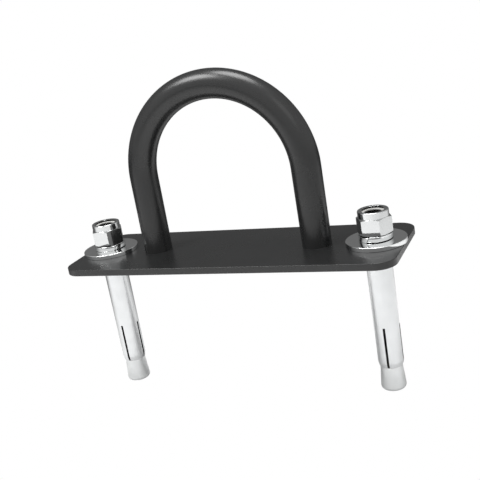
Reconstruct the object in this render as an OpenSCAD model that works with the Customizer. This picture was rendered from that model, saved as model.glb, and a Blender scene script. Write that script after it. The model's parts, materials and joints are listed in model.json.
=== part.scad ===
// Pad eye: a round-bar bow on a flat plate, with two sleeve anchors.
// Millimetres, +X along the plate, +Z out of it. The plate's underside lies on Z = 0.

/* [Base plate] */
// Length of the plate
plate_l = 221.5; // [215:0.5:300]
// Width of the plate
plate_w = 73; // [60:0.5:120]
// Thickness of the plate
plate_t = 4.3; // [4:0.1:8]
// Radius of the plate's corners
plate_corner_r = 12; // [4:0.5:25]
// Diameter of the holes that the anchors go through
anchor_hole_d = 18; // [17.2:0.1:20]

/* [Bow] */
// Diameter of the round bar
bar_d = 18.4; // [12:0.1:22]
// Distance between the centres of the two legs
leg_gap = 111.5; // [80:0.5:120]
// Height of the straight part of each leg above the plate
leg_h = 49.4; // [10:0.1:120]
// Width of the weld groove around each leg, on the underside
weld_w = 2.8; // [1.5:0.1:4]

/* [Washers] */
// Outer diameter of the flat washers
washer_d = 37; // [26:0.5:44]
// Thickness of the flat washers
washer_t = 2.8; // [2:0.1:4]
// Outer diameter of the spring washers
spring_d = 21; // [19:0.1:22]
// Thickness of the spring washers' wire
spring_t = 3.1; // [2:0.1:3.5]
// How far one end of a spring washer stands above the other
spring_rise = 0.5; // [0.3:0.1:1.5]
// Width of the split in a spring washer
spring_split_w = 0.7; // [0.5:0.1:3]

/* [Lock nuts] */
// Width across the flats
nut_af = 19; // [18:0.5:21]
// Height of the six-sided part
nut_hex_h = 10.3; // [8:0.1:14]
// Height of the whole nut with its collar
nut_h = 14.3; // [13.6:0.1:18]
// Outer diameter of the round collar
nut_collar_d = 18.7; // [17.4:0.1:18.7]

/* [Anchors] */
// Distance between the two anchors
anchor_gap = 186; // [170:0.5:190]
// Diameter of the threaded stud
stud_d = 12; // [10:0.5:12]
// Outer diameter of the sleeve
sleeve_d = 16; // [15.6:0.1:16.5]
// Length of the sleeve, from the plate's top down to its mouth
sleeve_l = 80.5; // [60:0.5:150]
// Length of the slits in the sleeve's lower end
slit_l = 27.5; // [15:0.5:40]
// Width of the slits
slit_w = 1.5; // [0.6:0.1:2]
// Length of the cone that stands out below the sleeve
cone_l = 16; // [12:0.5:25]
// Diameter of the cone at its widest
cone_d = 15.9; // [15:0.1:15.9]

/* [Hidden] */

$fn = 96;
LEFT = -1;
RIGHT = 1;

// Play between the stud's thread and what turns on it
thread_play = 0.05;
// Play between the bow's legs and their holes in the plate
leg_play = 0.1;
// Height of the legs' lower ends, which the plug welds cover
leg_end_z = 1;
// Depth of the weld grooves in the underside
weld_h = 2.8;

// Heights of the stack on the plate
washer_z = plate_t;
spring_z = washer_z + washer_t;
nut_z = spring_z + spring_t + spring_rise;

washer_bore_d = stud_d + 1;
spring_bore_d = stud_d + 0.4;
// Direction of each spring washer's split, as degrees around the stud
left_split = 320;
right_split = 257;
// How far the split leans round the ring between its bottom and its top, in degrees
split_lean = 9;
spring_steps = 48;

// Lock nut: the nylon ring sits in a groove in the collar, under a turned-in lip
nut_chamfer = 0.8;
nut_ring_z = nut_h - 2.2;
nut_ring_h = 0.9;
nut_ring_bore_r = 5.3;
nut_ring_r = 7.6;
nut_lip_r = 7;
nut_lip_round = 0.6;
nut_mouth = 0.6;

// Stud: full thread at the top, a thinner shank, then the cone. Its end stays below the nylon ring,
// even when the nut has drawn it up by one turn
stud_top_z = nut_z + nut_h - 4.1;
stud_chamfer = 1;
thread_l = 45;
shank_r = stud_d / 2 - 0.6;
sleeve_mouth_z = plate_t - sleeve_l;
cone_end_z = sleeve_mouth_z - cone_l;
cone_round = 2.2;
// The cone's side leaves the sleeve's mouth at this radius and widens down to the rounding
cone_mouth_r = 6.85;
cone_in_l = 8;
cone_slope = (cone_d / 2 - cone_mouth_r) / (cone_l - cone_round);
cone_tip_r = cone_mouth_r - cone_in_l * cone_slope;

// Sleeve: its bore opens towards the mouth, parallel to the cone, and its outside tapers in
sleeve_bore_r = stud_d / 2 + 0.5;
sleeve_seat_play = 0.17;
sleeve_seat_r = cone_mouth_r + sleeve_seat_play;
sleeve_seat_l = (sleeve_seat_r - sleeve_bore_r) / cone_slope;
sleeve_mouth_r = sleeve_seat_r + 0.28;
sleeve_taper_l = 3;
slit_count = 4;

// Points of a quarter circle in a profile: x outwards and z up, from one angle to another
function arc(x, z, r, from, to, steps = 8) =
    [for (i = [0:steps]) let (a = from + (to - from) * i / steps) [x + r * cos(a), z + r * sin(a)]];

// Moves a shape to the left or the right anchor
module at_anchor(side) {
    translate([side * anchor_gap / 2, 0, 0]) children();
}

// Flat outline of the plate: a rectangle with round corners
module plate_outline() {
    square([plate_l, plate_w - 2 * plate_corner_r], center = true);
    square([plate_l - 2 * plate_corner_r, plate_w], center = true);
    for (x = [-1, 1], y = [-1, 1])
        translate([x * (plate_l / 2 - plate_corner_r), y * (plate_w / 2 - plate_corner_r)])
            circle(r = plate_corner_r);
}

// Hole for one leg, with the weld groove that opens to the underside
module leg_hole(side) {
    hole_r = bar_d / 2 + leg_play;
    translate([side * leg_gap / 2, 0, 0])
        rotate_extrude()
            polygon([
                [0, -1], [hole_r + weld_w, -1], [hole_r + weld_w, 0],
                [hole_r, weld_h], [hole_r, plate_t + 1], [0, plate_t + 1],
            ]);
}

module base_plate() {
    color([0.1, 0.1, 0.1])
        difference() {
            linear_extrude(plate_t) plate_outline();
            for (side = [LEFT, RIGHT]) {
                leg_hole(side);
                at_anchor(side)
                    translate([0, 0, -1]) cylinder(d = anchor_hole_d, h = plate_t + 2);
            }
        }
}

module u_bow() {
    arch_z = plate_t + leg_h;
    color([0.1, 0.1, 0.1]) {
        translate([0, 0, arch_z])
            rotate([90, 0, 0])
                rotate_extrude(angle = 180)
                    translate([leg_gap / 2, 0]) circle(d = bar_d);
        for (side = [LEFT, RIGHT])
            translate([side * leg_gap / 2, 0, leg_end_z])
                cylinder(d = bar_d, h = arch_z - leg_end_z);
    }
}

// Plug weld: fills the groove around a leg and covers its end, flush with the underside
module leg_weld(side) {
    leg_r = bar_d / 2;
    groove_r = leg_r + leg_play;
    color([0.14, 0.14, 0.14])
        translate([side * leg_gap / 2, 0, 0])
            rotate_extrude()
                polygon([
                    [0, 0], [groove_r + weld_w, 0], [groove_r, weld_h],
                    [leg_r, weld_h], [leg_r, leg_end_z], [0, leg_end_z],
                ]);
}

module flat_washer(side) {
    color([0.7, 0.71, 0.72])
        at_anchor(side)
            translate([0, 0, washer_z])
                difference() {
                    cylinder(d = washer_d, h = washer_t);
                    translate([0, 0, -1]) cylinder(d = washer_bore_d, h = washer_t + 2);
                }
}

// Corner of the spring washer's wire at one step: inner or outer, bottom or top
function spring_corner(step, outer, top, split) =
    let (
        r = (outer ? spring_d : spring_bore_d) / 2,
        half_split = spring_split_w / spring_d * 180 / PI,
        lean = (top ? 0.5 : -0.5) * split_lean,
        a = split + lean + half_split + (360 - 2 * half_split) * step / spring_steps,
        z = spring_rise * (1 - step / spring_steps) + (top ? spring_t : 0)
    )
    [r * cos(a), r * sin(a), z];

// Split ring that falls from one end of its wire to the other, anticlockwise as seen from above
module spring_ring(split) {
    points = [
        for (step = [0:spring_steps]) each [
            spring_corner(step, false, false, split),
            spring_corner(step, true, false, split),
            spring_corner(step, true, true, split),
            spring_corner(step, false, true, split),
        ]
    ];
    sides = [
        for (step = [0:spring_steps - 1], k = [0:3])
            let (here = 4 * step, next = (k + 1) % 4)
            each [
                [here + k, here + 4 + k, here + next],
                [here + next, here + 4 + k, here + 4 + next],
            ]
    ];
    last = 4 * spring_steps;
    ends = [[0, 1, 2], [0, 2, 3], [last, last + 2, last + 1], [last, last + 3, last + 2]];
    polyhedron(points, concat(sides, ends));
}

module spring_washer(side) {
    color([0.75, 0.76, 0.78])
        at_anchor(side)
            translate([0, 0, spring_z])
                spring_ring(side == LEFT ? left_split : right_split);
}

// Outside of the six-sided part: its corners are cut back by a cone at both ends
module nut_hex() {
    corner_r = nut_af / 2 / cos(30);
    face_r = nut_af / 2 - 0.1;
    wide = corner_r + 0.5;
    slope = nut_chamfer / (corner_r - face_r);
    cut = (wide - face_r) * slope;
    intersection() {
        cylinder(r = corner_r, h = nut_hex_h, $fn = 6);
        rotate_extrude()
            polygon([
                [0, 0], [face_r, 0], [wide, cut], [wide, nut_hex_h - cut],
                [face_r, nut_hex_h], [0, nut_hex_h],
            ]);
    }
}

module nut_collar() {
    collar_r = nut_collar_d / 2;
    rotate_extrude()
        polygon(concat(
            [[0, nut_hex_h - 1], [collar_r, nut_hex_h - 1]],
            arc(collar_r - nut_lip_round, nut_h - nut_lip_round, nut_lip_round, 0, 90),
            [[0, nut_h]]
        ));
}

// Bore, with a wide mouth at the bottom, the ring's groove and the opening in the lip
module nut_bore() {
    bore_r = stud_d / 2 + thread_play;
    rotate_extrude()
        polygon([
            [0, -1], [bore_r + nut_mouth + 1, -1], [bore_r, nut_mouth],
            [bore_r, nut_ring_z], [nut_ring_r, nut_ring_z],
            [nut_ring_r, nut_ring_z + nut_ring_h], [nut_lip_r, nut_ring_z + nut_ring_h],
            [nut_lip_r, nut_h + 1], [0, nut_h + 1],
        ]);
}

module lock_nut(side) {
    color([0.85, 0.86, 0.87])
        at_anchor(side)
            translate([0, 0, nut_z])
                difference() {
                    union() {
                        nut_hex();
                        nut_collar();
                    }
                    nut_bore();
                }
}

module nylon_ring(side) {
    color([0.9, 0.9, 0.87])
        at_anchor(side)
            translate([0, 0, nut_z + nut_ring_z])
                difference() {
                    cylinder(r = nut_ring_r, h = nut_ring_h);
                    translate([0, 0, -1])
                        cylinder(r = nut_ring_bore_r, h = nut_ring_h + 2);
                }
}

// Stud and its cone, which draws up into the sleeve when the nut is tightened
module stud(side) {
    stud_r = stud_d / 2;
    tip_z = sleeve_mouth_z + cone_in_l;
    color([0.75, 0.76, 0.77])
        at_anchor(side)
            rotate_extrude()
                polygon(concat(
                    [
                        [0, stud_top_z], [stud_r - stud_chamfer, stud_top_z],
                        [stud_r, stud_top_z - stud_chamfer], [stud_r, stud_top_z - thread_l],
                        [shank_r, stud_top_z - thread_l], [shank_r, tip_z], [cone_tip_r, tip_z],
                    ],
                    arc(cone_d / 2 - cone_round, cone_end_z + cone_round, cone_round, 0, -90),
                    [[0, cone_end_z]]
                ));
}

// Anchor sleeve, slit from its mouth upwards
module sleeve(side) {
    sleeve_r = sleeve_d / 2;
    color([0.82, 0.83, 0.85])
        at_anchor(side)
            difference() {
                rotate_extrude()
                    polygon([
                        [sleeve_bore_r, plate_t], [sleeve_r, plate_t],
                        [sleeve_r, sleeve_mouth_z + sleeve_taper_l],
                        [sleeve_mouth_r, sleeve_mouth_z], [sleeve_seat_r, sleeve_mouth_z],
                        [sleeve_bore_r, sleeve_mouth_z + sleeve_seat_l],
                    ]);
                for (i = [0:slit_count - 1])
                    rotate([0, 0, i * 360 / slit_count])
                        translate([0, -slit_w / 2, sleeve_mouth_z - 1])
                            cube([sleeve_r + 1, slit_w, slit_l + 1]);
            }
}

base_plate();
u_bow();
leg_weld(LEFT);  // left_leg_weld
leg_weld(RIGHT);  // right_leg_weld
flat_washer(LEFT);  // left_flat_washer
flat_washer(RIGHT);  // right_flat_washer
spring_washer(LEFT);  // left_spring_washer
spring_washer(RIGHT);  // right_spring_washer
lock_nut(LEFT);  // left_lock_nut
lock_nut(RIGHT);  // right_lock_nut
nylon_ring(LEFT);  // left_nylon_ring
nylon_ring(RIGHT);  // right_nylon_ring
stud(LEFT);  // left_stud
stud(RIGHT);  // right_stud
sleeve(LEFT);  // left_sleeve
sleeve(RIGHT);  // right_sleeve
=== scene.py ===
"""The looks of a pad eye with two sleeve anchors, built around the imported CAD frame.

Metres, in the CAD's own frame: +X along the plate, +Z out of it, the plate's underside on Z = 0.
Each visible piece is a detailed mesh that stands for one CAD node and rides on that node's body.
"""

import json
import math

import bmesh
import bpy
from mathutils import Matrix, Vector

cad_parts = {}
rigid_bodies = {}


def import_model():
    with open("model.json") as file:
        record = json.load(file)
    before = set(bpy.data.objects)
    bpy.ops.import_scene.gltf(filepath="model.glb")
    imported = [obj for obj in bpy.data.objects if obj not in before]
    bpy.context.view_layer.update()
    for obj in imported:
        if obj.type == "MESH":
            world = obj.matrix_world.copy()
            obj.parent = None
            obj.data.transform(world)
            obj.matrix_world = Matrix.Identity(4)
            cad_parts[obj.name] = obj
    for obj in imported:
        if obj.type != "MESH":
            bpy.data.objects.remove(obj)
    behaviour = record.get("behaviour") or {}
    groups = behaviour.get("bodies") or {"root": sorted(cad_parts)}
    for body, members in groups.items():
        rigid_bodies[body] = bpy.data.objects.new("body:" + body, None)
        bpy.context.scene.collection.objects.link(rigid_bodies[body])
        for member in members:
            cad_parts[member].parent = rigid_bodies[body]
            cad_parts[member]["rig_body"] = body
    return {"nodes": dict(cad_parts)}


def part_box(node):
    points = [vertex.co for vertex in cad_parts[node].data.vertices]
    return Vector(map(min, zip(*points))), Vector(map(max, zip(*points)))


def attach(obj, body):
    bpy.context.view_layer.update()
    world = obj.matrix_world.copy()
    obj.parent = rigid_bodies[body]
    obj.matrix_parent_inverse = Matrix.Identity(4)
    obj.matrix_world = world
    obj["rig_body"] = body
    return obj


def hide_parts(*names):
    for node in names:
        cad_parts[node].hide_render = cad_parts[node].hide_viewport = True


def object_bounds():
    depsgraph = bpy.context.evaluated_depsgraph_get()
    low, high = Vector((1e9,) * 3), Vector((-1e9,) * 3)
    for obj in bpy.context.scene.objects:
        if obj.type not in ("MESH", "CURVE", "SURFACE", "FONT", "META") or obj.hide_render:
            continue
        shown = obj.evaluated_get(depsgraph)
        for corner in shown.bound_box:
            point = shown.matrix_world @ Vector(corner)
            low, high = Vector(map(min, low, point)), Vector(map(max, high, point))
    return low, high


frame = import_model()
CAD_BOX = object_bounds()

MM = 0.001
SIDES = ("left", "right")

# Radii of edges and corners
PLATE_EDGE_R = 0.25 * MM
PLATE_CORNER_R = 12.0 * MM
WASHER_EDGE_R = 0.35 * MM
SPRING_EDGE_R = 0.28 * MM
NUT_CORNER_R = 0.3 * MM

# Holes and welds in the plate, from the CAD's design, and the bevel at the anchor holes' rims
ANCHOR_HOLE_R = 9.0 * MM
HOLE_BEVEL = 0.3 * MM
LEG_PLAY = 0.1 * MM
WELD_W = 2.8 * MM
WELD_H = 2.8 * MM

# Washers, from the CAD's design; the ends of a spring washer lean by an angle about its axis
WASHER_BORE_R = 6.5 * MM
SPRING_BORE_R = 6.2 * MM
SPRING_T = 3.1 * MM
SPRING_SPLIT_W = 0.7 * MM
SPRING_SPLIT = {"left": math.radians(320), "right": math.radians(257)}
SPRING_LEAN = math.radians(9)

# Nut and nylon ring, from the CAD's design, and the nut's bevelled mouth and its thread
NUT_HEX_H = 10.3 * MM
NUT_COLLAR_R = 9.35 * MM
NUT_CHAMFER = 0.8 * MM
NUT_BORE_R = 6.05 * MM
NUT_MOUTH_H = 0.8 * MM
NUT_LIP_R = 7.0 * MM
NUT_RING_R = 7.6 * MM
NYLON_BORE_R = 5.3 * MM
NUT_THREAD_DEPTH = 0.7 * MM

# Stud and cone, from the CAD's design, and the stud's thread
STUD_R = 6.0 * MM
STUD_CHAMFER = 1.0 * MM
THREAD_PITCH = 1.75 * MM
THREAD_DEPTH = 1.0 * MM
THREAD_L = 45.0 * MM
SHANK_R = 5.4 * MM
CONE_L = 16.0 * MM
CONE_IN_L = 8.0 * MM
CONE_MOUTH_R = 6.85 * MM
CONE_ROUND = 2.2 * MM

# Sleeve and its slits, from the CAD's design
SLEEVE_BORE_R = 6.5 * MM
SLEEVE_SEAT_R = 7.02 * MM
SLEEVE_SEAT_L = 6.5 * MM
SLEEVE_MOUTH_R = 7.3 * MM
SLEEVE_TAPER_L = 3.0 * MM
SLIT_L = 27.5 * MM
SLIT_W = 1.5 * MM
SLIT_COUNT = 4

# The range that a noise texture's factor mostly keeps to
NOISE_RANGE = (0.3, 0.7)

# Gloss black coat: its darkest and lightest tone, its range of roughness and its index of refraction
COAT_TONES = ((0.009, 0.0093, 0.0094), (0.012, 0.0123, 0.0125))
COAT_GLOSS = (0.26, 0.31)
COAT_IOR = 1.5

# Zinc plate: its darkest and lightest tone, its range of roughness, how its fine marks are stretched,
# and their size and depth in metres
PLATING = {
    "bright_zinc": {"tones": ((0.59, 0.60, 0.60), (0.63, 0.64, 0.64)), "gloss": (0.03, 0.06),
                    "streak": (1, 1, 1), "grain": 0.0015, "depth": 0.8e-6},
    "washer_zinc": {"tones": ((0.77, 0.78, 0.78), (0.82, 0.83, 0.83)), "gloss": (0.04, 0.08),
                    "streak": (1, 1, 1), "grain": 0.0012, "depth": 0.8e-6},
    "spring_zinc": {"tones": ((0.72, 0.73, 0.73), (0.77, 0.78, 0.78)), "gloss": (0.05, 0.10),
                    "streak": (1, 1, 1), "grain": 0.0012, "depth": 0.8e-6},
    "sleeve_zinc": {"tones": ((0.60, 0.61, 0.615), (0.65, 0.66, 0.665)), "gloss": (0.20, 0.26),
                    "streak": (1, 1, 0.15), "grain": 0.0012, "depth": 4e-6},
    "cone_zinc": {"tones": ((0.59, 0.60, 0.60), (0.64, 0.65, 0.65)), "gloss": (0.32, 0.40),
                  "streak": (1, 1, 4), "grain": 0.0012, "depth": 6e-6},
}

# Painted shade for the steel faces that the assembly hides, and the nylon's darkest and lightest tone,
# darkened in part as painted shade of its recess
PAINTED_SHADE_COLOUR = (0.035, 0.034, 0.032)
NYLON_TONES = ((0.44, 0.44, 0.425), (0.50, 0.50, 0.485))

# Camera: where it looks from, and how it leans
VIEW_AZIMUTH = math.radians(25.14)
VIEW_ELEVATION = math.radians(16.98)
VIEW_ROLL = math.radians(-9.895)
VIEW_DISTANCE = 0.52525
VIEW_TARGET = Vector((0.00454, 0.0, 0.00881))
LENS = 61.67
SENSOR = 36.0

# Studio: its bright side, where its walls turn from dark to bright, their radiance on the two sides, and
# the even radiance that matt surfaces see instead
BRIGHT_SIDE = Vector((0.50, -0.866, 0.0))
WALL_TURN = (-0.95, 0.45)
WALL_GLOW = (0.17, 1.0)
ROOM_GLOW = 0.45

# Floor: its size, how far it lies under the cones, where its painted shade turns from dark to light, and its
# two tones, painted shade and pale
FLOOR_SIZE = 8.0
FLOOR_DROP = 0.006
FLOOR_SHADE_TURN = (-0.30, 0.0)
FLOOR_SHADE_TONES = (0.12, 0.95)

# Round lamps: where each one hangs, its width and its radiance
LAMPS = {
    "left_lamp": ((-0.47, -0.36, 0.90), 0.52, 11.5),
    "top_lamp": ((0.02, 0.055, 0.90), 0.49, 9.2),
    "right_lamp": ((0.95, -0.65, 0.90), 0.70, 0.8),
}


# ---------------------------------------------------------------- outlines and profiles

def fillet(points, radii, steps=4):
    """A closed outline with its corners rounded, with one radius for each corner."""
    out = []
    count = len(points)
    for i, (point, radius) in enumerate(zip(points, radii)):
        p = Vector(point)
        a = (Vector(points[i - 1]) - p).normalized()
        b = (Vector(points[(i + 1) % count]) - p).normalized()
        half = a.angle(b) / 2
        centre = p + (a + b).normalized() * radius / math.sin(half)
        start = p + a * radius / math.tan(half) - centre
        end = p + b * radius / math.tan(half) - centre
        turn = start.angle_signed(end)
        for k in range(steps + 1):
            out.append(tuple(centre + Matrix.Rotation(-turn * k / steps, 2) @ start))
    return out


def rounded_rectangle(half_x, half_y, radius, steps=14):
    """Points round a rectangle with round corners, anticlockwise."""
    points = []
    for quarter, (sx, sy) in enumerate(((1, 1), (-1, 1), (-1, -1), (1, -1))):
        for k in range(steps + 1):
            a = math.radians(90) * (quarter + k / steps)
            points.append((sx * (half_x - radius) + radius * math.cos(a),
                           sy * (half_y - radius) + radius * math.sin(a)))
    return points


def quarter_steps(steps):
    """Angles from 0 to a right angle."""
    return [math.radians(90) * k / steps for k in range(steps + 1)]


# ---------------------------------------------------------------- meshes

class Shell:
    """Vertices and faces of one piece while it is being built."""

    def __init__(self):
        self.verts = []
        self.faces = []

    def ring(self, points):
        """Adds a row of vertices and gives back their numbers."""
        first = len(self.verts)
        self.verts.extend(points)
        return list(range(first, len(self.verts)))

    def join(self, lower, upper):
        """Faces all the way round between two rows of the same length."""
        count = len(lower)
        for i in range(count):
            k = (i + 1) % count
            self.faces.append((lower[i], lower[k], upper[k], upper[i]))

    def cap(self, ring, flip=False):
        """One flat face over a row."""
        self.faces.append(tuple(reversed(ring)) if flip else tuple(ring))


def turned(profile_at, angles, centre, closed=True):
    """A piece turned about an upright axis. profile_at(angle) gives its (radius, height) points.

    A closed profile is a loop away from the axis; an open one starts and ends near the axis and is capped.
    """
    x, y = centre
    shell = Shell()
    columns = []
    for a in angles:
        columns.append([(x + r * math.cos(a), y + r * math.sin(a), z) for r, z in profile_at(a)])
    rings = [shell.ring([column[k] for column in columns]) for k in range(len(columns[0]))]
    for lower, upper in zip(rings, rings[1:]):
        shell.join(lower, upper)
    if closed:
        shell.join(rings[-1], rings[0])
    else:
        shell.cap(rings[0], flip=True)
        shell.cap(rings[-1])
    return shell


def even_angles(count):
    """Angles all the way round, evenly spaced."""
    return [2 * math.pi * i / count for i in range(count)]


def clean(mesh):
    """Merges double points, drops faces without area and turns every face outwards."""
    bm = bmesh.new()
    bm.from_mesh(mesh)
    bmesh.ops.remove_doubles(bm, verts=bm.verts, dist=0.002 * MM)
    bmesh.ops.dissolve_degenerate(bm, edges=bm.edges, dist=0.001 * MM)
    bmesh.ops.recalc_face_normals(bm, faces=bm.faces)
    bm.to_mesh(mesh)
    bm.free()


def mark_painted_shade(mesh, inside):
    """Stores 1 on the faces that lie inside the assembly, which get painted shade, and 0 on the rest."""
    values = mesh.attributes.new("shade_mask", "FLOAT", "FACE").data
    for face, value in zip(mesh.polygons, values):
        value.value = 1.0 if inside and inside(face.center) else 0.0


def piece(name, shell, material, node, sharp=28, inside=None):
    """Makes the object, shades it, and ties it to its CAD node, body and material slot."""
    mesh = bpy.data.meshes.new(name)
    mesh.from_pydata([tuple(v) for v in shell.verts], [], shell.faces)
    clean(mesh)
    mark_painted_shade(mesh, inside)
    mesh.shade_smooth()
    mesh.set_sharp_from_angle(angle=math.radians(sharp))
    mesh.materials.append(material)
    obj = bpy.data.objects.new(name, mesh)
    bpy.context.scene.collection.objects.link(obj)
    weighted = obj.modifiers.new("face_weighted_shading", "WEIGHTED_NORMAL")
    weighted.keep_sharp = True
    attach(obj, frame["nodes"][node]["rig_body"])
    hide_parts(node)


# ---------------------------------------------------------------- plate, bow and welds

def leg_centres():
    """Where the bow's two legs stand along X, and the bar's radius."""
    low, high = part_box("u_bow")
    bar_r = (high.y - low.y) / 2
    return [low.x + bar_r, high.x - bar_r], bar_r


def anchor_x(side):
    """Where the anchor's axis stands along X."""
    low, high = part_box(side + "_flat_washer")
    return (low.x + high.x) / 2


def hole_rings(shell, x, rings, count=64):
    """Wall of a round hole in the plate; gives back its top ring and its bottom ring."""
    made = []
    for r, z in rings:
        made.append(shell.ring([(x + r * math.cos(a), r * math.sin(a), z) for a in even_angles(count)]))
    for upper, lower in zip(made, made[1:]):
        shell.join(upper, lower)
    return made[0], made[-1]


def fill_flat(shell, loops):
    """Fills a flat face that has holes in it with triangles."""
    bm = bmesh.new()
    lookup = {}
    for loop in loops:
        verts = [bm.verts.new(shell.verts[i]) for i in loop]
        lookup.update(zip(verts, loop))
        for a, b in zip(verts, verts[1:] + verts[:1]):
            bm.edges.new((a, b))
    bmesh.ops.triangle_fill(bm, edges=bm.edges, use_beauty=True)
    for face in bm.faces:
        shell.faces.append(tuple(lookup[v] for v in face.verts))
    bm.free()


def plate_rim(shell, low, high):
    """The plate's outer wall with its rounded edges; gives back its top ring and its bottom ring."""
    edge = PLATE_EDGE_R
    rows = [(edge * (1 - math.sin(a)), high.z - edge * (1 - math.cos(a))) for a in quarter_steps(4)]
    rows += [(inset, low.z + high.z - z) for inset, z in reversed(rows)]
    rings = []
    for inset, z in rows:
        outline = rounded_rectangle(high.x - inset, high.y - inset, PLATE_CORNER_R - inset)
        rings.append(shell.ring([(x, y, z) for x, y in outline]))
    for upper, lower in zip(rings, rings[1:]):
        shell.join(upper, lower)
    return rings[0], rings[-1]


def plate_shell():
    """The plate: the coat bridges the gap round the bow's legs, and the weld grooves open downwards."""
    low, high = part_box("base_plate")
    top = high.z
    shell = Shell()
    rims = [plate_rim(shell, low, high)]
    legs, bar_r = leg_centres()
    hole_r = bar_r + LEG_PLAY
    bridge_low, bridge_high = top - 0.4 * MM, top - 0.3 * MM
    for x in legs:
        rims.append(hole_rings(shell, x, [(bar_r, top), (bar_r, bridge_high), (hole_r, bridge_low),
                                          (hole_r, WELD_H), (hole_r + WELD_W, low.z)]))
    wide_r = ANCHOR_HOLE_R + HOLE_BEVEL
    for side in SIDES:
        rims.append(hole_rings(shell, anchor_x(side), [(wide_r, top), (ANCHOR_HOLE_R, top - HOLE_BEVEL),
                                                       (ANCHOR_HOLE_R, low.z + HOLE_BEVEL), (wide_r, low.z)]))
    fill_flat(shell, [upper for upper, lower in rims])
    fill_flat(shell, [lower for upper, lower in rims])
    return shell


def bow_path():
    """Stations along the bar: centre, direction and radius, from the left leg's end to the right one's."""
    low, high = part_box("u_bow")
    (left_x, right_x), bar_r = leg_centres()
    arch_r = (right_x - left_x) / 2
    arch_z = high.z - bar_r - arch_r
    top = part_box("base_plate")[1].z
    bevel = 0.4 * MM
    leg_steps, steps = 8, 96
    leg = [(low.z, bar_r - bevel), (low.z + bevel, bar_r), (top, bar_r)]
    leg += [(top + (arch_z - top) * k / leg_steps, bar_r) for k in range(1, leg_steps)]
    left = [(Vector((left_x, 0, z)), Vector((0, 0, 1)), r) for z, r in leg]
    right = [(Vector((right_x, 0, z)), Vector((0, 0, -1)), r) for z, r in reversed(leg)]
    arch = []
    for k in range(steps + 1):
        a = math.pi * (1 - k / steps)
        centre = Vector((arch_r * math.cos(a), 0, arch_z + arch_r * math.sin(a)))
        arch.append((centre, Vector((math.sin(a), 0, -math.cos(a))), bar_r))
    return left + arch + right


def bow_shell(count=96):
    """The bow: a round bar along its path, closed at both ends."""
    shell = Shell()
    rings = []
    across = Vector((0, 1, 0))
    for centre, along, r in bow_path():
        outwards = across.cross(along)
        rings.append(shell.ring([centre + (across * math.cos(a) + outwards * math.sin(a)) * r
                                 for a in even_angles(count)]))
    for a, b in zip(rings, rings[1:]):
        shell.join(a, b)
    shell.cap(rings[0], flip=True)
    shell.cap(rings[-1])
    return shell


def weld_shell(side):
    """A plug weld, ground flush: its face keeps shallow ripples from the weld pool."""
    low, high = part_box(side + "_leg_weld")
    x = (low.x + high.x) / 2
    bar_r = leg_centres()[1]
    end_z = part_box("u_bow")[0].z
    groove_r = bar_r + LEG_PLAY
    outer_r = groove_r + WELD_W
    rings = 12
    core_r = 0.5 * MM
    ripple, ripple_arms, ripple_twist = 0.06 * MM, 9, 40
    notch, notches = 0.15 * MM, 31
    edge_z = low.z + 0.02 * MM

    def profile(a):
        face = []
        for k in range(1, rings):
            r = outer_r * k / rings
            wave = ripple * (1 + math.sin(ripple_arms * a + ripple_twist * r / outer_r)) / 2
            face.append((r, low.z + wave))
        edge = outer_r - notch * (1 + math.sin(notches * a)) / 2
        inside = [(groove_r, WELD_H), (bar_r, WELD_H), (bar_r, end_z), (core_r, end_z)]
        return face + [(edge, edge_z)] + inside

    return turned(profile, even_angles(96), (x, 0), closed=False)


# ---------------------------------------------------------------- anchor hardware

def washer_shell(side):
    """The flat washer, punched from above: its upper edges are rounder than its lower ones."""
    low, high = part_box(side + "_flat_washer")
    outer = (high.x - low.x) / 2
    corners = [(WASHER_BORE_R, low.z), (outer, low.z), (outer, high.z), (WASHER_BORE_R, high.z)]
    roundness = (0.5, 0.6, 1, 0.8)
    profile = fillet(corners, [WASHER_EDGE_R * part for part in roundness])
    return turned(lambda a: profile, even_angles(128), (anchor_x(side), 0))


def spring_shell(side, steps=120):
    """The spring washer's wire: it falls once round, and its leaning ends leave a split."""
    low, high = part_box(side + "_spring_washer")
    x = anchor_x(side)
    outer = high.y
    rise = high.z - low.z - SPRING_T
    corners = [(SPRING_BORE_R, 0), (outer, 0), (outer, SPRING_T), (SPRING_BORE_R, SPRING_T)]
    section = fillet(corners, [SPRING_EDGE_R] * 4)
    half_split = SPRING_SPLIT_W / (2 * outer)
    shell = Shell()
    rings = []
    for k in range(steps + 1):
        part = k / steps
        points = []
        for r, z in section:
            lean = SPRING_LEAN * (z / SPRING_T - 0.5)
            a = SPRING_SPLIT[side] + lean + half_split + (2 * math.pi - 2 * half_split) * part
            points.append((x + r * math.cos(a), r * math.sin(a), low.z + z + rise * (1 - part)))
        rings.append(shell.ring(points))
    for a, b in zip(rings, rings[1:]):
        shell.join(a, b)
    shell.cap(rings[0], flip=True)
    shell.cap(rings[-1])
    return shell


def hex_radius(angle, flat_r, corner_round):
    """Distance from the centre to the outline of a hexagon with slightly round corners."""
    half_side = math.radians(30)
    off_corner = abs((angle + half_side) % (2 * half_side) - half_side)
    reach = (flat_r - corner_round) / math.cos(half_side)
    round_end = half_side - math.atan((flat_r - corner_round) * math.tan(half_side) / flat_r)
    if off_corner > round_end:
        return flat_r / math.cos(half_side - off_corner)
    return reach * math.cos(off_corner) + math.sqrt(corner_round ** 2 - (reach * math.sin(off_corner)) ** 2)


def hex_angles(per_side=26):
    """Angles round a hexagon with corners on X, close together at the corners."""
    angles = []
    for side in range(6):
        for k in range(per_side):
            u = 2 * k / per_side - 1
            eased = math.copysign(abs(u) ** 0.5, u)
            angles.append(math.radians(60 * side + 30 + 30 * eased))
    return angles


def thread_wave(angle, z, start):
    """From 0 to 1 and back once for each pitch: straight flanks between narrow flats."""
    turns = ((z - start) / THREAD_PITCH - angle / (2 * math.pi)) % 1.0
    half_pitches = abs(turns - 0.5) * 2
    flat, flank = 0.14, 0.68
    return min(1.0, max(0.0, (half_pitches - flat) / flank))


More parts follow.
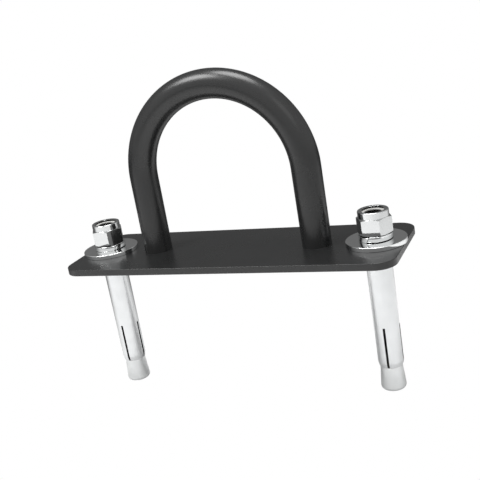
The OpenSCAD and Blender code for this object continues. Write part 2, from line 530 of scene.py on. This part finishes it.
def nut_thread(angle, low, high, rows=76):
    """The nut's thread from its top end down; it fades in below the ring and out towards the mouth."""
    fade_top, fade_bottom = 0.3 * MM, 0.9 * MM
    points = [(NUT_BORE_R, high)]
    for k in range(1, rows):
        z = high + (low - high) * k / rows
        fade = min(1.0, (high - z) / fade_top, (z - low) / fade_bottom)
        points.append((NUT_BORE_R + NUT_THREAD_DEPTH * fade * thread_wave(angle, z, high), z))
    return points


def nut_rim(top):
    """The collar's rolled rim: widely rounded outside, nearly sharp and a little lower inside."""
    outer_edge, inner_edge, drop = 0.6 * MM, 0.1 * MM, 0.12 * MM
    outside = [(NUT_COLLAR_R - outer_edge * (1 - math.cos(t)), top - outer_edge * (1 - math.sin(t)))
               for t in quarter_steps(8)]
    inside = [(NUT_LIP_R + inner_edge * (1 - math.sin(t)), top - drop - inner_edge * (1 - math.cos(t)))
              for t in quarter_steps(4)]
    return outside + inside


def nut_shell(side):
    """A chamfered hexagon with a round collar, a threaded bore and a groove for the nylon ring."""
    low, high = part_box(side + "_lock_nut")
    ring_low, ring_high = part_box(side + "_nylon_ring")
    flat_r = (high.y - low.y) / 2
    face_r = flat_r - 0.1 * MM
    corner_r = flat_r / math.cos(math.radians(30))
    slope = NUT_CHAMFER / (corner_r - face_r)
    hex_top = low.z + NUT_HEX_H
    mouth = low.z + NUT_MOUTH_H
    base = [(NUT_BORE_R, mouth), (NUT_BORE_R + NUT_THREAD_DEPTH, low.z), (face_r - 0.15 * MM, low.z),
            (face_r, low.z + 0.03 * MM)]
    collar = [(NUT_COLLAR_R + 0.04 * MM, hex_top), (NUT_COLLAR_R, hex_top + 0.25 * MM)] + nut_rim(high.z)
    groove = [(NUT_LIP_R, ring_high.z), (NUT_RING_R, ring_high.z), (NUT_RING_R, ring_low.z)]

    def profile(a):
        r = hex_radius(a, flat_r, NUT_CORNER_R)
        drop = (r - face_r) * slope
        flat = [(r, low.z + drop), (r, hex_top - drop)]
        return base + flat + collar + groove + nut_thread(a, mouth, ring_low.z)

    return turned(profile, hex_angles(), (anchor_x(side), 0))


def nylon_shell(side):
    """The nylon ring, with its bore's edges rounded."""
    low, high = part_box(side + "_nylon_ring")
    outer = (high.x - low.x) / 2
    corners = [(NYLON_BORE_R, low.z), (outer, low.z), (outer, high.z), (NYLON_BORE_R, high.z)]
    bore_low_r, outer_r, bore_high_r = 0.2 * MM, 0.1 * MM, 0.3 * MM
    profile = fillet(corners, [bore_low_r, outer_r, outer_r, bore_high_r])
    return turned(lambda a: profile, even_angles(96), (anchor_x(side), 0))


def stud_thread(angle, top, rows_per_turn=12):
    """The stud's thread from its chamfered end down to where it runs out."""
    bottom = top - THREAD_L
    first = 0.1 * MM
    fade_top, fade_bottom = 0.9 * MM, 2.5 * MM
    rows = int(THREAD_L / THREAD_PITCH * rows_per_turn)
    points = []
    for k in range(rows + 1):
        z = top - first - (THREAD_L - first) * k / rows
        fade = max(0.0, min(1.0, (top - z) / fade_top, (z - bottom) / fade_bottom))
        r = STUD_R - THREAD_DEPTH * thread_wave(angle, z, top) * fade ** 0.5
        points.append((min(r, STUD_R - STUD_CHAMFER + (top - z)), z))
    return points


def cone_points(low_z, cone_r):
    """The shank's lower end and the expander cone, from its tip in the sleeve down to its rounded rim."""
    mouth = low_z + CONE_L
    tip = mouth + CONE_IN_L
    slope = (cone_r - CONE_MOUTH_R) / (CONE_L - CONE_ROUND)
    tip_r = CONE_MOUTH_R - CONE_IN_L * slope
    points = [(SHANK_R, tip + 0.5 * MM), (SHANK_R + 0.4 * MM, tip)]
    points += [(tip_r - 0.2 * MM, tip), (tip_r, tip - 0.3 * MM), (CONE_MOUTH_R, mouth)]
    points += [(cone_r - CONE_ROUND * (1 - math.cos(t)), low_z + CONE_ROUND * (1 - math.sin(t)))
               for t in quarter_steps(10)]
    return points + [(cone_r - CONE_ROUND - 2.5 * MM, low_z)]


def stud_shell(side):
    """The stud: a thread rolled on its upper end, a plain shank, and the expander cone below."""
    low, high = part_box(side + "_stud")
    core_r = 0.4 * MM
    end = [(core_r, high.z), (STUD_R - STUD_CHAMFER - 0.2 * MM, high.z)]
    shank = [(SHANK_R, high.z - THREAD_L - 0.6 * MM)]
    cone = cone_points(low.z, (high.x - low.x) / 2) + [(core_r, low.z)]

    def profile(a):
        return end + stud_thread(a, high.z) + shank + cone

    return turned(profile, even_angles(60), (anchor_x(side), 0), closed=False)


def sleeve_columns(per_quarter=16):
    """Places round the sleeve: for each, the slit it belongs beside and which side of it, or a free angle."""
    columns = []
    for quarter in range(SLIT_COUNT):
        centre = 2 * math.pi * quarter / SLIT_COUNT
        columns.append(("edge", centre, 1))
        for k in range(1, per_quarter):
            columns.append(("free", centre, k / per_quarter))
        columns.append(("edge", centre + 2 * math.pi / SLIT_COUNT, -1))
    return columns


def sleeve_angle(column, r):
    """The column's angle at a radius: slit edges stay parallel, so they turn more on the inside."""
    kind, centre, where = column
    half = math.asin(SLIT_W / 2 / r)
    if kind == "edge":
        return centre + where * half
    span = 2 * math.pi / SLIT_COUNT - 2 * half
    return centre + half + span * where


def sleeve_radii(low_z, outer_r):
    """Two functions of height: the sleeve's outer radius and its bore, both of which change at the mouth."""
    lip = 0.08 * MM
    taper_l = SLEEVE_TAPER_L + 0.3 * MM

    def outer(z):
        if z <= low_z:
            return SLEEVE_MOUTH_R - lip
        return SLEEVE_MOUTH_R + (outer_r - SLEEVE_MOUTH_R) * min(1.0, (z - low_z) / taper_l) ** 0.9

    def inner(z):
        part = max(0.0, (low_z + SLEEVE_SEAT_L - z) / SLEEVE_SEAT_L)
        return SLEEVE_BORE_R + (SLEEVE_SEAT_R - SLEEVE_BORE_R) * part

    return outer, inner


def sleeve_heights(low_z, high_z):
    """Heights of the sleeve's mesh rows, close together at its mouth."""
    taper, seat, slit = low_z + SLEEVE_TAPER_L, low_z + SLEEVE_SEAT_L, low_z + SLIT_L
    return [low_z, low_z + 0.25 * MM, low_z + 1.0 * MM, low_z + 2.0 * MM, taper - 0.3 * MM, taper,
            taper + 0.5 * MM, seat, slit - 8 * MM, slit, slit + 10 * MM, high_z - 0.4 * MM, high_z]


def wall_cells(shell, out, inn, filled):
    """Both faces of every filled cell of a wall, and a narrow face along each of its open edges."""
    count = len(out[0])
    for row in range(len(out) - 1):
        for c in range(count):
            if not filled(row, c):
                continue
            n = (c + 1) % count
            shell.faces.append((out[row][c], out[row][n], out[row + 1][n], out[row + 1][c]))
            shell.faces.append((inn[row][n], inn[row][c], inn[row + 1][c], inn[row + 1][n]))
            for neighbour, a, b in ((filled(row - 1, c), (row, c), (row, n)),
                                    (filled(row + 1, c), (row + 1, n), (row + 1, c)),
                                    (filled(row, (c - 1) % count), (row + 1, c), (row, c)),
                                    (filled(row, n), (row, n), (row + 1, n))):
                if not neighbour:
                    shell.faces.append((out[a[0]][a[1]], inn[a[0]][a[1]], inn[b[0]][b[1]], out[b[0]][b[1]]))


def sleeve_shell(side):
    """A tube wall made of cells; the slits are the cells left out."""
    low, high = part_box(side + "_sleeve")
    x = anchor_x(side)
    heights = sleeve_heights(low.z, high.z)
    columns = sleeve_columns()
    shell = Shell()
    grids = []
    for radius in sleeve_radii(low.z, (high.x - low.x) / 2):
        rows = []
        for z in heights:
            r = radius(z)
            angles = [sleeve_angle(column, r) for column in columns]
            rows.append(shell.ring([(x + r * math.cos(a), r * math.sin(a), z) for a in angles]))
        grids.append(rows)
    per_quarter = len(columns) // SLIT_COUNT

    def filled(row, column):
        if not 0 <= row < len(heights) - 1:
            return False
        is_slit = column % per_quarter == per_quarter - 1
        return not (is_slit and heights[row] < low.z + SLIT_L)

    wall_cells(shell, *grids, filled)
    return shell


# ---------------------------------------------------------------- materials

def new_material(name):
    """A node material with its nodes, its links and its shader."""
    material = bpy.data.materials.new(name)
    material.use_nodes = True
    nodes = material.node_tree.nodes
    return material, nodes, material.node_tree.links, nodes["Principled BSDF"]


def object_point(nodes, links, scale=(1, 1, 1)):
    """The place on the piece in its own coordinates, stretched by scale."""
    place = nodes.new("ShaderNodeTexCoord")
    mapping = nodes.new("ShaderNodeMapping")
    mapping.inputs["Scale"].default_value = scale
    links.new(place.outputs["Object"], mapping.inputs["Vector"])
    return mapping.outputs["Vector"]


def noise(nodes, links, point, size, detail):
    """Soft noise whose lumps are about size metres across."""
    texture = nodes.new("ShaderNodeTexNoise")
    texture.inputs["Scale"].default_value = 1 / size
    texture.inputs["Detail"].default_value = detail
    texture.inputs["Roughness"].default_value = 0.5
    links.new(point, texture.inputs["Vector"])
    return texture.outputs["Fac"]


def between(nodes, links, factor, low, high):
    """A number that goes from low to high over the range of a noise factor."""
    remap = nodes.new("ShaderNodeMapRange")
    for socket, number in zip(("From Min", "From Max", "To Min", "To Max"), (*NOISE_RANGE, low, high)):
        remap.inputs[socket].default_value = number
    links.new(factor, remap.inputs["Value"])
    return remap.outputs["Result"]


def tint(nodes, links, factor, dark, light):
    """A colour that goes from dark to light over the range of a noise factor."""
    ramp = nodes.new("ShaderNodeValToRGB")
    for element, position, colour in zip(ramp.color_ramp.elements, NOISE_RANGE, (dark, light)):
        element.position = position
        element.color = (*colour, 1)
    links.new(factor, ramp.inputs["Fac"])
    return ramp.outputs["Color"]


def bump(nodes, links, shader, height, depth):
    """Raises the surface by height times depth, in metres."""
    node = nodes.new("ShaderNodeBump")
    node.inputs["Strength"].default_value = 1.0
    node.inputs["Distance"].default_value = depth
    links.new(height, node.inputs["Height"])
    links.new(node.outputs["Normal"], shader.inputs["Normal"])


def black_coat():
    """Gloss black coat on steel: slight changes in tone and gloss, fine orange peel."""
    cloud, sheen, peel, peel_depth = 0.030, 0.012, 0.0016, 0.000002
    material, nodes, links, shader = new_material("black_coat")
    point = object_point(nodes, links)
    shade = noise(nodes, links, point, cloud, 4)
    links.new(tint(nodes, links, shade, *COAT_TONES), shader.inputs["Base Color"])
    gloss = noise(nodes, links, point, sheen, 4)
    links.new(between(nodes, links, gloss, *COAT_GLOSS), shader.inputs["Roughness"])
    shader.inputs["IOR"].default_value = COAT_IOR
    bump(nodes, links, shader, noise(nodes, links, point, peel, 2), peel_depth)
    return material


def paint_shade(nodes, links, colour):
    """Paints shade: darkens the colour on the faces marked as inside the assembly."""
    shade_mask = nodes.new("ShaderNodeAttribute")
    shade_mask.attribute_name = "shade_mask"
    mix = nodes.new("ShaderNodeMix")
    mix.data_type = "RGBA"
    plain_colour, shade_colour, mixed = mix.inputs[6], mix.inputs[7], mix.outputs[2]
    shade_colour.default_value = (*PAINTED_SHADE_COLOUR, 1)
    links.new(shade_mask.outputs["Fac"], mix.inputs["Factor"])
    links.new(colour, plain_colour)
    return mixed


def plated(name, tones, gloss, streak, grain, depth):
    """Zinc plate: slight changes in tone and gloss, and fine marks stretched along streak."""
    cloud = 0.008
    material, nodes, links, shader = new_material(name)
    shader.inputs["Metallic"].default_value = 1.0
    point = object_point(nodes, links)
    tone = noise(nodes, links, point, cloud, 4)
    # Painted shade: the colour turns dark on the faces inside the assembly.
    links.new(paint_shade(nodes, links, tint(nodes, links, tone, *tones)), shader.inputs["Base Color"])
    marks = noise(nodes, links, object_point(nodes, links, streak), grain, 3)
    links.new(between(nodes, links, marks, *gloss), shader.inputs["Roughness"])
    bump(nodes, links, shader, marks, depth)
    return material


def nylon():
    """Natural nylon, slightly see-through, toned down to grey: its own colour and painted shade of its recess
    in the nut.
    """
    cloud, grain, grain_depth = 0.002, 0.0004, 0.00001
    material, nodes, links, shader = new_material("nylon")
    point = object_point(nodes, links)
    shade = noise(nodes, links, point, cloud, 3)
    links.new(tint(nodes, links, shade, *NYLON_TONES), shader.inputs["Base Color"])
    shader.inputs["Roughness"].default_value = 0.42
    shader.inputs["Subsurface Weight"].default_value = 0.15
    shader.inputs["Subsurface Radius"].default_value = (0.0008, 0.0008, 0.0007)
    bump(nodes, links, shader, noise(nodes, links, point, grain, 2), grain_depth)
    return material


# ---------------------------------------------------------------- stage, light and camera

def smooth(nodes, links, value, start, end, low, high):
    """A soft step: low before start, high after end."""
    step = nodes.new("ShaderNodeMapRange")
    step.interpolation_type = "SMOOTHSTEP"
    for socket, number in (("From Min", start), ("From Max", end), ("To Min", low), ("To Max", high)):
        step.inputs[socket].default_value = number
    links.new(value, step.inputs["Value"])
    return step.outputs["Result"]


def towards_bright_side(nodes, links, vector):
    """How far a direction or a place lies towards the studio's bright side."""
    dot = nodes.new("ShaderNodeVectorMath")
    dot.operation = "DOT_PRODUCT"
    dot.inputs[1].default_value = BRIGHT_SIDE
    links.new(vector, dot.inputs[0])
    return dot.outputs["Value"]


def choose(nodes, links, factor, first, second):
    """One shader where factor is 0, the other where it is 1."""
    mix = nodes.new("ShaderNodeMixShader")
    links.new(factor, mix.inputs["Fac"])
    links.new(first, mix.inputs[1])
    links.new(second, mix.inputs[2])
    return mix.outputs["Shader"]


def make_floor():
    """A plain pale floor just under the cones: white to the camera, and in reflections dark on one side with
    painted shade.

    It is clear from below, so the underside can be looked at.
    """
    bpy.ops.mesh.primitive_plane_add(size=FLOOR_SIZE, location=(0, 0, CAD_BOX[0].z - FLOOR_DROP))
    floor = bpy.context.object
    floor.name = "floor"
    material = bpy.data.materials.new("floor")
    material.use_nodes = True
    nodes, links = material.node_tree.nodes, material.node_tree.links
    nodes.clear()
    paper = nodes.new("ShaderNodeBsdfDiffuse")
    place = nodes.new("ShaderNodeTexCoord").outputs["Object"]
    side = towards_bright_side(nodes, links, place)
    # Painted shade: the floor's colour darkens away from the bright side; the camera sees it white.
    links.new(smooth(nodes, links, side, *FLOOR_SHADE_TURN, *FLOOR_SHADE_TONES), paper.inputs["Color"])
    white = nodes.new("ShaderNodeEmission")
    clear = nodes.new("ShaderNodeBsdfTransparent")
    seen = nodes.new("ShaderNodeLightPath").outputs["Is Camera Ray"]
    below = nodes.new("ShaderNodeNewGeometry").outputs["Backfacing"]
    top = choose(nodes, links, seen, paper.outputs["BSDF"], white.outputs["Emission"])
    whole = choose(nodes, links, below, top, clear.outputs["BSDF"])
    links.new(whole, nodes.new("ShaderNodeOutputMaterial").inputs["Surface"])
    floor.data.materials.append(material)


def make_world():
    """The studio: plain white to the camera, with a dark and a bright side in reflections.

    Matt surfaces are lit evenly from all round.
    """
    world = bpy.data.worlds.new("studio")
    bpy.context.scene.world = world
    world.use_nodes = True
    nodes, links = world.node_tree.nodes, world.node_tree.links
    nodes.clear()
    side = towards_bright_side(nodes, links, nodes.new("ShaderNodeTexCoord").outputs["Generated"])
    walls = nodes.new("ShaderNodeBackground")
    links.new(smooth(nodes, links, side, *WALL_TURN, *WALL_GLOW), walls.inputs["Strength"])
    room = nodes.new("ShaderNodeBackground")
    room.inputs["Strength"].default_value = ROOM_GLOW
    white = nodes.new("ShaderNodeBackground")
    for background in (walls, room, white):
        background.inputs["Color"].default_value = (1, 1, 1, 1)
    path = nodes.new("ShaderNodeLightPath").outputs
    even, turned_walls, plain = (background.outputs["Background"] for background in (room, walls, white))
    unseen = choose(nodes, links, path["Is Diffuse Ray"], turned_walls, even)
    whole = choose(nodes, links, path["Is Camera Ray"], unseen, plain)
    links.new(whole, nodes.new("ShaderNodeOutputWorld").inputs["Surface"])


def make_lamp(name, place, width, radiance):
    """A round lamp that faces the arch of the bow; its power is its radiance times its area times pi."""
    aim = Vector((0, 0, CAD_BOX[1].z))
    data = bpy.data.lights.new(name, "AREA")
    data.shape = "DISK"
    data.size = width
    data.energy = radiance * math.pi * math.pi * width ** 2 / 4
    lamp = bpy.data.objects.new(name, data)
    lamp.location = place
    lamp.rotation_euler = (aim - Vector(place)).to_track_quat("-Z", "Y").to_euler()
    bpy.context.scene.collection.objects.link(lamp)


def make_camera():
    """The camera: it looks down at the object from the front right, leaning a little."""
    back = Vector((math.sin(VIEW_AZIMUTH) * math.cos(VIEW_ELEVATION),
                   -math.cos(VIEW_AZIMUTH) * math.cos(VIEW_ELEVATION), math.sin(VIEW_ELEVATION)))
    right = Vector((math.cos(VIEW_AZIMUTH), math.sin(VIEW_AZIMUTH), 0))
    up = back.cross(right)
    leaned_right = right * math.cos(VIEW_ROLL) + up * math.sin(VIEW_ROLL)
    leaned_up = up * math.cos(VIEW_ROLL) - right * math.sin(VIEW_ROLL)
    data = bpy.data.cameras.new("camera")
    data.lens = LENS
    data.sensor_width = SENSOR
    data.clip_start, data.clip_end = 0.01, 20
    camera = bpy.data.objects.new("camera", data)
    turn = Matrix((leaned_right, leaned_up, back)).transposed().to_4x4()
    camera.matrix_world = Matrix.Translation(VIEW_TARGET + back * VIEW_DISTANCE) @ turn
    bpy.context.scene.collection.objects.link(camera)
    bpy.context.scene.camera = camera


def make_stage():
    """Floor, studio, lamps and camera."""
    bpy.context.scene.view_settings.view_transform = "Standard"
    make_floor()
    make_world()
    for name, (place, width, radiance) in LAMPS.items():
        make_lamp(name, place, width, radiance)
    make_camera()


# ---------------------------------------------------------------- the object

def in_bore(side):
    """Picks the nut's thread, the groove round the nylon ring and the inside of the collar's lip, for painted
    shade.
    """
    x = anchor_x(side)
    lip_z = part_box(side + "_lock_nut")[1].z - 0.4 * MM
    return lambda p: math.hypot(p.x - x, p.y) < NUT_RING_R and p.z < lip_z


def in_sleeve(side):
    """Picks what the sleeve hides of the stud, for painted shade."""
    hidden_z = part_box(side + "_sleeve")[0].z + 0.3 * MM
    return lambda p: p.z > hidden_z


def in_wall(side):
    """Picks the sleeve's bore and the walls of its slits, for painted shade."""
    low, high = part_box(side + "_sleeve")
    x, outer_r = (low.x + high.x) / 2, (high.x - low.x) / 2
    slope = (outer_r - SLEEVE_MOUTH_R) / SLEEVE_TAPER_L
    skin_t, rim_h = 0.25 * MM, 0.05 * MM

    def inside(p):
        skin_r = outer_r - skin_t - max(0, low.z + SLEEVE_TAPER_L - p.z) * slope
        return p.z > low.z + rim_h and math.hypot(p.x - x, p.y) < skin_r

    return inside


def make_anchor(side, zinc, ring):
    """One anchor's pieces, from the flat washer to the sleeve."""
    piece(side + "_washer_plated", washer_shell(side), zinc["washer_zinc"], side + "_flat_washer")
    piece(side + "_spring_plated", spring_shell(side), zinc["spring_zinc"], side + "_spring_washer")
    piece(side + "_nut_plated", nut_shell(side), zinc["bright_zinc"], side + "_lock_nut",
          sharp=20, inside=in_bore(side))
    piece(side + "_locking_ring", nylon_shell(side), ring, side + "_nylon_ring")
    piece(side + "_threaded_stud", stud_shell(side), zinc["cone_zinc"], side + "_stud",
          inside=in_sleeve(side))
    piece(side + "_slit_sleeve", sleeve_shell(side), zinc["sleeve_zinc"], side + "_sleeve",
          inside=in_wall(side))


def make_object():
    """Every piece, with the material it shows."""
    coat = black_coat()
    zinc = {name: plated(name, **look) for name, look in PLATING.items()}
    ring = nylon()
    piece("base_plate_coated", plate_shell(), coat, "base_plate")
    piece("bow_coated", bow_shell(), coat, "u_bow")
    for side in SIDES:
        piece(side + "_plug_weld", weld_shell(side), coat, side + "_leg_weld")
        make_anchor(side, zinc, ring)


make_stage()
make_object()
